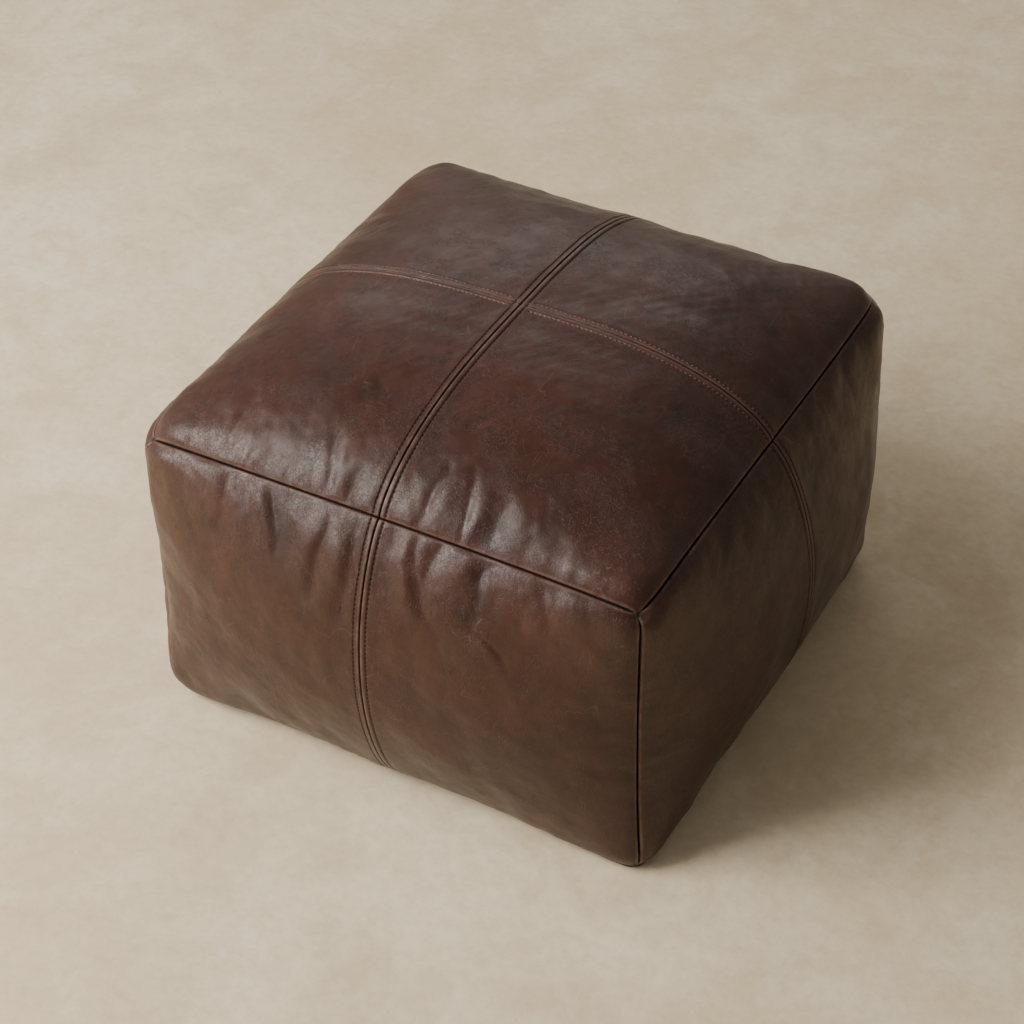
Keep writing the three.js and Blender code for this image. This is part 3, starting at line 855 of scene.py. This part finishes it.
def zip_tape(side, material):
    """A woven tape, ribbed across and thinner at its edges."""
    node = f"zip_tape_{side}"
    low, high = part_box(node)
    sign = -1 if side == "front" else 1
    inner, outer = sorted((abs(low.y), abs(high.y)))
    middle = (low.z + high.z) / 2
    thick = (high.z - low.z) / 2
    x = np.arange(low.x, high.x + TAPE_RIB / 4, TAPE_RIB / 4)
    profile = []
    for k in range(9):
        y = inner + (outer - inner) * k / 8
        swell = 1.0 if 0 < k < 8 else 0.35
        profile.append((y, -thick * swell))
    for k in range(9):
        y = outer - (outer - inner) * k / 8
        swell = 1.0 if 0 < k < 8 else 0.35
        profile.append((y, thick * swell))
    profile = np.array(profile)
    rib = 1 - 0.12 * (1 + np.cos(2 * math.pi * x / TAPE_RIB)) / 2
    points = np.empty((1, len(x), len(profile), 3))
    points[0, ..., 0] = x[:, None]
    points[0, ..., 1] = sign * profile[None, :, 0]
    points[0, ..., 2] = middle + profile[None, :, 1] * rib[:, None]
    if sign < 0:
        points = points[:, :, ::-1]
    return tubes(node + "_weave", node, points, material)


def zip_coil(side, material):
    """One half of the zip's teeth: a flattened coil of nylon wire."""
    node = f"zip_coil_{side}"
    low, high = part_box(node)
    sign = -1 if side == "front" else 1
    turns = (high.x - low.x - 2 * COIL_WIRE) / COIL_PITCH
    t = np.linspace(0, turns, int(turns * 12))
    angle = 2 * math.pi * t
    width = abs(high.y - low.y) / 2 - COIL_WIRE
    thick = (high.z - low.z) / 2 - COIL_WIRE
    centre = (low + high) / 2
    path = np.stack([
        low.x + COIL_WIRE + COIL_PITCH * t,
        centre.y + sign * width * np.cos(angle),
        centre.z + thick * np.sin(angle),
    ], axis=-1)
    tangent = np.gradient(path, axis=0)
    tangent /= np.linalg.norm(tangent, axis=-1, keepdims=True)
    across = np.cross(tangent, np.array([1.0, 0, 0]))
    across /= np.linalg.norm(across, axis=-1, keepdims=True)
    up = np.cross(across, tangent)
    turn = np.linspace(0, 2 * math.pi, 6, endpoint=False)
    ring = across[:, None] * np.cos(turn)[None, :, None] + up[:, None] * np.sin(turn)[None, :, None]
    points = path[:, None] + COIL_WIRE * ring
    return tubes(node + "_wire", node, points[None, :, ::-1], material)


def rounded_metal(node, body, material):
    """A metal part of the zip with its edges eased."""
    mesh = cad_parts[node].data.copy()
    mesh.materials.clear()
    mesh.materials.append(material)
    shape = bpy.data.objects.new(node + "_shape", mesh)
    bpy.context.scene.collection.objects.link(shape)
    weld = shape.modifiers.new("weld", "WELD")
    weld.merge_threshold = 0.01 * MM
    bevel = shape.modifiers.new("bevel", "BEVEL")
    bevel.width = 0.18 * MM
    bevel.segments = 2
    bevel.limit_method = "ANGLE"
    bevel.angle_limit = math.radians(38)
    finished = bpy.data.meshes.new_from_object(shape.evaluated_get(bpy.context.evaluated_depsgraph_get()))
    piece = bpy.data.objects.new(node + "_metal", finished)
    bpy.context.scene.collection.objects.link(piece)
    bpy.data.objects.remove(shape)
    for polygon in finished.polygons:
        polygon.use_smooth = False
    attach(piece, body)
    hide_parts(node)
    return piece


def zip_stitches(side, material):
    """The row that holds the tape, under the leather beside the zip's opening."""
    node = f"stitching_zip_{side}"
    low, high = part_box(node)
    y = (low.y + high.y) / 2
    x = np.arange(low.x, high.x, STITCH_PITCH)
    z = form("bottom", x / HALF, np.full(x.shape, -y / HALF))[:, 2]
    holes = np.stack([x, np.full(x.shape, y), z + 0.15 * MM], axis=-1)
    down = np.broadcast_to(np.array([0, 0, -1.0]), holes.shape)
    return dashes(node + "_thread", node, holes, down, material)


# ---- inner bag and filling --------------------------------------------------------------------

BAG_MARGIN = 13 * MM  # between the outside and the bag
BAG_CLOTH = 0.8 * MM
BAG_MOUTH = (0.13, 0.006)  # half its length and half its width
FILLING_MARGIN = 17 * MM
BAG_STEPS = 84  # grid cells across a face
FILLING_STEPS = 120


def closed_form(name, margin, steps, relief, material, mouth=None):
    """The whole pouf's form drawn in by a margin, as one mesh, with a slit underneath where asked."""
    middle = np.array([0, 0, (TOP_SEAM + CROWN) / 2])
    reach = np.array([HALF + SIDE_BULGE, HALF + SIDE_BULGE, middle[2]])
    shrink = 1 - margin / reach
    lines = np.sin(np.linspace(-math.pi / 2, math.pi / 2, steps + 1))
    u, v = np.meshgrid(lines, lines)
    inside = 1 - np.maximum(np.abs(u), np.abs(v)) ** 6
    all_points, all_quads = [], []
    count = 0
    for number, face in enumerate(FACES):
        height = relief(number, u * HALF, v * HALF) * inside
        points = middle + (form(face, u, v) - middle) * shrink
        points = points + form_normal(face, u, v) * height[..., None]
        quads = grid_quads(steps + 1, steps + 1) + count
        if mouth is not None and face == "bottom":
            centres = points.reshape(-1, 3)[quads - count].mean(axis=1)
            keep = (np.abs(centres[:, 0]) > mouth[0]) | (np.abs(centres[:, 1]) > mouth[1])
            quads = quads[keep]
        all_points.append(points.reshape(-1, 3))
        all_quads.append(quads)
        count += points.shape[0] * points.shape[1]
    points = np.concatenate(all_points)
    _, first, index = np.unique(np.round(points, 6), axis=0, return_index=True, return_inverse=True)
    used, quads = np.unique(index.ravel()[np.concatenate(all_quads)], return_inverse=True)
    return add_object(name, points[first][used], [quads.reshape(-1, 4)], material)


def inner_bag(material):
    def gathers(number, x, y):
        return 1.0 * MM * lobes(waves(700 + number, 0.03, 0.07, x, y))

    shell = closed_form("bag_shell", BAG_MARGIN, BAG_STEPS, gathers, material, BAG_MOUTH)
    solid = shell.modifiers.new("cloth", "SOLIDIFY")
    solid.thickness = BAG_CLOTH
    solid.offset = -1
    finished = bpy.data.meshes.new_from_object(shell.evaluated_get(bpy.context.evaluated_depsgraph_get()))
    piece = bpy.data.objects.new("inner_bag_cloth", finished)
    bpy.context.scene.collection.objects.link(piece)
    bpy.data.objects.remove(shell)
    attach(piece, "pouf")
    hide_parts("inner_bag")


def filling(material):
    def tufts(number, x, y):
        return 1.2 * MM * waves(800 + number, 0.012, 0.05, x, y, 1, 24) - 2.0 * MM

    piece = closed_form("filling_wadding", FILLING_MARGIN, FILLING_STEPS, tufts, material)
    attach(piece, "pouf")
    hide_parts("filling")


# ---- materials --------------------------------------------------------------------------------

class Nodes:
    """Short names for the nodes that the materials are made of."""

    def __init__(self, name, roughness=0.5, metallic=0.0):
        self.material = bpy.data.materials.new(name)
        self.material.use_nodes = True
        self.tree = self.material.node_tree
        self.shader = self.tree.nodes["Principled BSDF"]
        self.shader.inputs["Roughness"].default_value = roughness
        self.shader.inputs["Metallic"].default_value = metallic
        self.place = self.tree.nodes.new("ShaderNodeTexCoord").outputs["Object"]

    def link(self, source, target):
        if hasattr(source, "links"):
            self.tree.links.new(source, target)
        else:
            target.default_value = source

    def stretched(self, scale, turn=(0, 0, 0)):
        node = self.tree.nodes.new("ShaderNodeMapping")
        node.inputs["Scale"].default_value = scale
        node.inputs["Rotation"].default_value = turn
        self.link(self.place, node.inputs["Vector"])
        return node.outputs["Vector"]

    def noise(self, size, detail=3.0, roughness=0.55, distortion=0.0, place=None):
        """Soft noise whose blotches are about `size` metres."""
        node = self.tree.nodes.new("ShaderNodeTexNoise")
        self.link(place or self.place, node.inputs["Vector"])
        node.inputs["Scale"].default_value = 1 / size
        node.inputs["Detail"].default_value = detail
        node.inputs["Roughness"].default_value = roughness
        node.inputs["Distortion"].default_value = distortion
        return node.outputs["Fac"]

    def cells(self, size, feature="F1", place=None, randomness=1.0):
        node = self.tree.nodes.new("ShaderNodeTexVoronoi")
        node.feature = feature
        self.link(place or self.place, node.inputs["Vector"])
        node.inputs["Scale"].default_value = 1 / size
        node.inputs["Randomness"].default_value = randomness
        return node.outputs["Distance"]

    def contour(self, value, width):
        """Thin lines where a noise passes its middle value."""
        return self.ramp(self.math("ABSOLUTE", self.math("SUBTRACT", value, 0.5)), 0.0, width, 1.0, 0.0)

    def height(self):
        """Height above the floor, in metres."""
        node = self.tree.nodes.new("ShaderNodeSeparateXYZ")
        self.link(self.place, node.inputs["Vector"])
        return node.outputs["Z"]

    def attribute(self, name):
        node = self.tree.nodes.new("ShaderNodeAttribute")
        node.attribute_name = name
        return node.outputs["Fac"]

    def ramp(self, value, low, high, to_low=0.0, to_high=1.0):
        node = self.tree.nodes.new("ShaderNodeMapRange")
        node.interpolation_type = "SMOOTHSTEP"
        self.link(value, node.inputs["Value"])
        for key, number in (("From Min", low), ("From Max", high), ("To Min", to_low), ("To Max", to_high)):
            node.inputs[key].default_value = number
        return node.outputs["Result"]

    def math(self, operation, a, b=0.0):
        node = self.tree.nodes.new("ShaderNodeMath")
        node.operation = operation
        self.link(a, node.inputs[0])
        self.link(b, node.inputs[1])
        return node.outputs["Value"]

    def mix(self, share, a, b):
        node = self.tree.nodes.new("ShaderNodeMix")
        node.data_type = "RGBA"
        self.link(share, node.inputs["Factor"])
        self.link(a if hasattr(a, "links") else (*a, 1), node.inputs["A"])
        self.link(b if hasattr(b, "links") else (*b, 1), node.inputs["B"])
        return node.outputs["Result"]

    def bump(self, height, depth, normal=None):
        """A bump whose full height is `depth` metres."""
        node = self.tree.nodes.new("ShaderNodeBump")
        node.inputs["Distance"].default_value = depth
        self.link(height, node.inputs["Height"])
        if normal is not None:
            self.link(normal, node.inputs["Normal"])
        return node.outputs["Normal"]

    def finish(self, color, normal=None, roughness=None):
        self.link(color, self.shader.inputs["Base Color"])
        if normal is not None:
            self.link(normal, self.shader.inputs["Normal"])
        if roughness is not None:
            self.link(roughness, self.shader.inputs["Roughness"])
        return self.material


# The leather's colours, in linear light
DARK_BROWN = (0.0250, 0.0088, 0.0052)
RED_BROWN = (0.068, 0.0205, 0.0118)
GREY_BROWN = (0.046, 0.0220, 0.0138)
# The next colour is the rubbed paler tone of marks and lips, and on the lips it is also a painted highlight
WORN_AND_HIGHLIGHT = (0.200, 0.105, 0.080)
BAND = (0.105, 0.034, 0.021)
# Painted shade, for the seam grooves, the hollows of the relief and the stitch holes
SHADOW = tuple(0.25 * c for c in DARK_BROWN)


def leather_material():
    m = Nodes("waxed_leather")
    m.shader.inputs["Specular IOR Level"].default_value = 0.30
    m.shader.inputs["Coat Weight"].default_value = 0.15
    m.shader.inputs["Coat Roughness"].default_value = 0.27
    m.shader.inputs["Sheen Weight"].default_value = 0.03
    m.shader.inputs["Sheen Roughness"].default_value = 0.5

    broad = m.ramp(m.noise(0.11, 3, 0.6, 0.6), 0.36, 0.64)
    patches = m.ramp(m.noise(0.030, 4, 0.62, 0.8), 0.35, 0.68)
    fleck = m.ramp(m.noise(0.006, 4, 0.6), 0.38, 0.66)
    color = m.mix(m.math("ADD", 0.25, m.math("MULTIPLY", broad, 0.40)), DARK_BROWN, RED_BROWN)
    color = m.mix(m.math("MULTIPLY", patches, 0.40), color, RED_BROWN)
    dusty = m.ramp(m.noise(0.045, 4, 0.6, 1.0), 0.50, 0.72)
    stain = m.ramp(m.noise(0.019, 4, 0.65, 0.5), 0.50, 0.72)
    color = m.mix(m.math("MULTIPLY", dusty, 0.50), color, GREY_BROWN)
    color = m.mix(m.math("MULTIPLY", stain, 0.40), color, DARK_BROWN)
    color = m.mix(m.math("MULTIPLY", fleck, 0.28), color, DARK_BROWN)
    band = m.math("MULTIPLY", m.attribute("band"), m.ramp(m.noise(0.07, 2), 0.44, 0.58, 0.12, 0.42))
    color = m.mix(band, color, BAND)

    # Painted shade: the sides are darkened toward the floor
    low = m.ramp(m.height(), 0.02, 0.24, 0.50, 0.0)
    color = m.mix(low, color, DARK_BROWN)

    # Pull-up marks and scratches: thin paler lines, only here and there
    vein = m.contour(m.noise(0.050, 3, 0.6, 0.8), 0.0045)
    vein = m.math("MULTIPLY", vein, m.ramp(m.noise(0.055, 3, 0.6), 0.50, 0.64))
    long_way = m.stretched((1, 0.25, 0.6), (0.3, 0.5, 0.7))
    scratch = m.contour(m.noise(0.030, 2, 0.4, 0.2, long_way), 0.005)
    scratch = m.math("MULTIPLY", scratch, m.ramp(m.noise(0.045, 2), 0.52, 0.62))
    marks = m.math("MAXIMUM", m.math("MULTIPLY", vein, 0.30), m.math("MULTIPLY", scratch, 0.24))
    color = m.mix(marks, color, WORN_AND_HIGHLIGHT)

    # The lips of the seams are paler, partly rubbed wear and partly a painted highlight, and what stands
    # proud is rubbed
    seam = m.attribute("seam")
    lip = m.math("MULTIPLY", m.ramp(seam, 1.8, 4.2, 1.0, 0.0), m.ramp(seam, 0.6, 1.6))
    lip = m.math("MULTIPLY", lip, m.ramp(m.noise(0.012, 3), 0.35, 0.65, 0.35, 1.0))
    # Painted shade in the seam grooves, mixed in below
    painted_groove_shade = m.ramp(seam, 0.45, 1.5, 1.0, 0.0)
    proud = m.math("MULTIPLY", m.ramp(m.attribute("relief"), 0.6, 4.0), 0.10)
    color = m.mix(m.math("MULTIPLY", m.math("MAXIMUM", lip, proud), 0.55), color, WORN_AND_HIGHLIGHT)
    # Painted shade: the seam grooves, the hollows of the relief and the stitch holes are darkened toward
    # SHADOW
    painted_hollow_shade = m.math("MULTIPLY", m.ramp(m.attribute("relief"), -0.4, -1.6), 0.4)
    painted_hollow_shade = m.math("MAXIMUM", painted_hollow_shade, m.math("MULTIPLY", m.attribute("pit"), 0.95))
    deep = m.math("MAXIMUM", painted_groove_shade, m.ramp(m.attribute("relief"), -1.4, -3.4))
    color = m.mix(m.math("MAXIMUM", painted_hollow_shade, deep), color, SHADOW)

    # Pores, a net of creases that is deepest beside the seams, and a soft unevenness
    grain = m.cells(0.0014, "F1")
    grain = m.ramp(grain, 0.1, 0.75, 1.0, 0.0)
    crease = m.noise(0.0045, 3, 0.6, 1.2, m.stretched((1, 1, 0.35)))
    crease = m.ramp(m.math("ABSOLUTE", m.math("SUBTRACT", crease, 0.5)), 0.0, 0.05)
    creased = m.ramp(m.noise(0.040, 3), 0.42, 0.58)
    creased = m.math("MAXIMUM", creased, m.ramp(seam, 15.0, 45.0, 0.8, 0.0))
    crease = m.math("ADD", m.math("MULTIPLY", m.math("SUBTRACT", crease, 1.0), creased), 1.0)
    normal = m.bump(grain, 0.045 * MM)
    normal = m.bump(crease, 0.17 * MM, normal)
    normal = m.bump(m.noise(0.009, 4, 0.62), 0.36 * MM, normal)
    roughness = m.ramp(m.noise(0.05, 4, 0.6), 0.3, 0.7, 0.36, 0.52)
    roughness = m.math("ADD", roughness, m.math("MULTIPLY", grain, -0.05))
    return m.finish(color, normal, roughness)


def thread_material(name, color, pale):
    m = Nodes(name, roughness=0.75)
    m.shader.inputs["Specular IOR Level"].default_value = 0.25
    fibres = m.noise(0.00035, 3, 0.6)
    tint = m.mix(m.ramp(m.noise(0.012, 3), 0.35, 0.65), color, pale)
    tint = m.mix(m.ramp(fibres, 0.3, 0.7, 0.0, 0.5), tint, tuple(0.5 * c for c in color))
    return m.finish(tint, m.bump(fibres, 0.08 * MM))


def tape_material():
    m = Nodes("zip_tape_cotton", roughness=0.9)
    m.shader.inputs["Sheen Weight"].default_value = 0.25
    wave = m.tree.nodes.new("ShaderNodeTexWave")
    wave.bands_direction = "DIAGONAL"
    wave.inputs["Scale"].default_value = 420
    wave.inputs["Distortion"].default_value = 0.4
    m.link(m.place, wave.inputs["Vector"])
    color = m.mix(m.noise(0.02, 3), (0.012, 0.008, 0.006), (0.030, 0.019, 0.014))
    color = m.mix(m.math("MULTIPLY", wave.outputs["Fac"], 0.4), color, (0.05, 0.033, 0.025))
    return m.finish(color, m.bump(wave.outputs["Fac"], 0.08 * MM))


def nylon_material():
    m = Nodes("zip_nylon", roughness=0.35)
    color = m.mix(m.noise(0.01, 2), (0.012, 0.008, 0.006), (0.022, 0.014, 0.010))
    return m.finish(color, m.bump(m.noise(0.0006, 2), 0.02 * MM))


def brass_material():
    m = Nodes("aged_brass", roughness=0.35, metallic=1.0)
    worn = m.ramp(m.noise(0.004, 4, 0.6), 0.35, 0.65)
    color = m.mix(worn, (0.17, 0.11, 0.05), (0.42, 0.29, 0.12))
    scratches = m.noise(0.0015, 3, 0.6, 0.0, m.stretched((0.1, 1, 1)))
    return m.finish(color, m.bump(scratches, 0.03 * MM), m.ramp(worn, 0, 1, 0.5, 0.28))


def cotton_material():
    m = Nodes("bag_cotton", roughness=0.92)
    m.shader.inputs["Sheen Weight"].default_value = 0.2
    weave = m.math("MULTIPLY", m.cells(0.0008, "F1", None, 0.15), 1.4)
    color = m.mix(m.noise(0.03, 4), (0.55, 0.49, 0.39), (0.68, 0.62, 0.51))
    color = m.mix(m.math("MULTIPLY", weave, 0.3), color, (0.36, 0.31, 0.24))
    return m.finish(color, m.bump(weave, 0.15 * MM))


def wadding_material():
    m = Nodes("cotton_wadding", roughness=1.0)
    m.shader.inputs["Sheen Weight"].default_value = 0.4
    fibres = m.noise(0.0015, 5, 0.7, 1.5)
    color = m.mix(fibres, (0.50, 0.46, 0.38), (0.80, 0.77, 0.70))
    return m.finish(color, m.bump(fibres, 0.6 * MM))


def floor_material():
    m = Nodes("plaster_floor", roughness=0.85)
    m.shader.inputs["Specular IOR Level"].default_value = 0.2
    broad = m.ramp(m.noise(0.5, 4, 0.6, 0.3), 0.38, 0.62)
    cloudy = m.ramp(m.noise(0.11, 6, 0.68, 0.6), 0.42, 0.66)
    fine = m.noise(0.012, 5, 0.65)
    color = m.mix(broad, (0.79, 0.645, 0.43), (0.90, 0.775, 0.56))
    color = m.mix(m.math("MULTIPLY", cloudy, 0.55), color, (0.67, 0.525, 0.33))
    color = m.mix(m.math("MULTIPLY", m.ramp(fine, 0.35, 0.7), 0.24), color, (0.52, 0.40, 0.26))
    blotch = m.ramp(m.noise(0.038, 5, 0.7, 0.4), 0.46, 0.68)
    color = m.mix(m.math("MULTIPLY", blotch, 0.22), color, (0.62, 0.50, 0.31))
    pale = m.ramp(m.noise(0.075, 5, 0.7, 0.5), 0.52, 0.70)
    color = m.mix(m.math("MULTIPLY", pale, 0.35), color, (0.92, 0.84, 0.66))
    streak = m.noise(0.02, 4, 0.6, 0.8, m.stretched((1, 0.25, 1), (0, 0, 0.8)))
    color = m.mix(m.math("MULTIPLY", m.ramp(streak, 0.55, 0.75), 0.14), color, (0.80, 0.72, 0.58))
    return m.finish(color, m.bump(m.noise(0.006, 5, 0.65), 0.25 * MM))


# ---- floor and lights ---------------------------------------------------------------------------

FLOOR_HALF = 40.0


def make_floor():
    corners = [(x * FLOOR_HALF, y * FLOOR_HALF, 0) for x, y in ((-1, -1), (1, -1), (1, 1), (-1, 1))]
    floor = add_object("floor", corners, [np.array([[0, 1, 2, 3]])], floor_material())


def area_light(name, place, target, size, power, color=(1, 1, 1)):
    data = bpy.data.lights.new(name, "AREA")
    data.shape = "RECTANGLE"
    data.size, data.size_y = size
    data.energy = power
    data.color = color
    light = bpy.data.objects.new(name, data)
    aim = Vector(target) - Vector(place)
    light.matrix_world = Matrix.Translation(place) @ aim.to_track_quat("-Z", "Y").to_matrix().to_4x4()
    bpy.context.scene.collection.objects.link(light)


def make_lights():
    world = bpy.data.worlds.new("studio")
    world.use_nodes = True
    background = world.node_tree.nodes["Background"]
    background.inputs["Color"].default_value = (1.0, 0.94, 0.86, 1)
    background.inputs["Strength"].default_value = 0.25
    bpy.context.scene.world = world
    area_light("key", (-1.7, -1.6, 2.0), (0, 0, 0.2), (1.4, 2.0), 105, (1.0, 0.96, 0.90))
    area_light("low", (-1.6, -2.1, 0.85), (0, 0, 0.25), (1.5, 0.34), 22, (1.0, 0.97, 0.93))
    area_light("fill", (-2.9, -0.9, 2.3), (0, 0, 0.2), (2.2, 1.8), 44, (1.0, 0.96, 0.91))
    area_light("back", (-1.5, 2.7, 1.9), (0, 0, 0.2), (2.4, 1.2), 14, (1.0, 0.97, 0.93))


# ---- the pouf -------------------------------------------------------------------------------------

def stitch_holes(found, *parts):
    """Joins the holes of several panels' rows into one row."""
    points = np.concatenate([found[node][side][0] for node, side in parts])
    normals = np.concatenate([found[node][side][1] for node, side in parts])
    return points, normals


def stitched_rows():
    """Each stitching node with the panels whose holes it runs through."""
    rows = {}
    for side in ("left", "right"):
        panels = [f"top_panel_front_{side}", f"top_panel_back_{side}"]
        rows[f"stitching_top_long_{side}"] = [(panel, "u") for panel in panels]
    for side in ("right", "left"):
        for end in ("front", "back"):
            rows[f"stitching_top_{side}_{end}"] = [(f"top_panel_{end}_{side}", "v")]
    for node, face, _, _ in PANELS:
        if face not in ("top", "bottom"):
            rows["stitching_" + node.replace("_panel", "")] = [(node, "u")]
    return rows


def make_pouf():
    leather = leather_material()
    dark_thread = thread_material("thread_dark", (0.060, 0.023, 0.015), (0.100, 0.040, 0.026))
    tan_thread = thread_material("thread_tan", (0.27, 0.125, 0.082), (0.44, 0.23, 0.155))
    moves = simulate_cover()
    found = {}
    for node, face, u_range, v_range in PANELS:
        found[node] = build_panel(node, face, u_range, v_range, moves, leather)
    for node, parts in stitched_rows().items():
        holes, normals = stitch_holes(found, *parts)
        across_top = node.startswith("stitching_top") and "long" not in node
        if across_top:
            dashes(node + "_thread", node, holes, normals, tan_thread, TAN_RAISED)
        else:
            dashes(node + "_thread", node, holes, normals, dark_thread)

    tape = tape_material()
    nylon = nylon_material()
    brass = brass_material()
    for side in ("front", "back"):
        zip_tape(side, tape)
        zip_coil(side, nylon)
        zip_stitches(side, dark_thread)
        rounded_metal(f"zip_top_stop_{side}", "pouf", brass)
    rounded_metal("zip_bottom_stop", "pouf", brass)
    rounded_metal("zip_slider", "zip_slider", brass)
    rounded_metal("zip_pull", "zip_pull", brass)
    inner_bag(cotton_material())
    filling(wadding_material())


make_camera()
make_floor()
make_lights()
make_pouf()
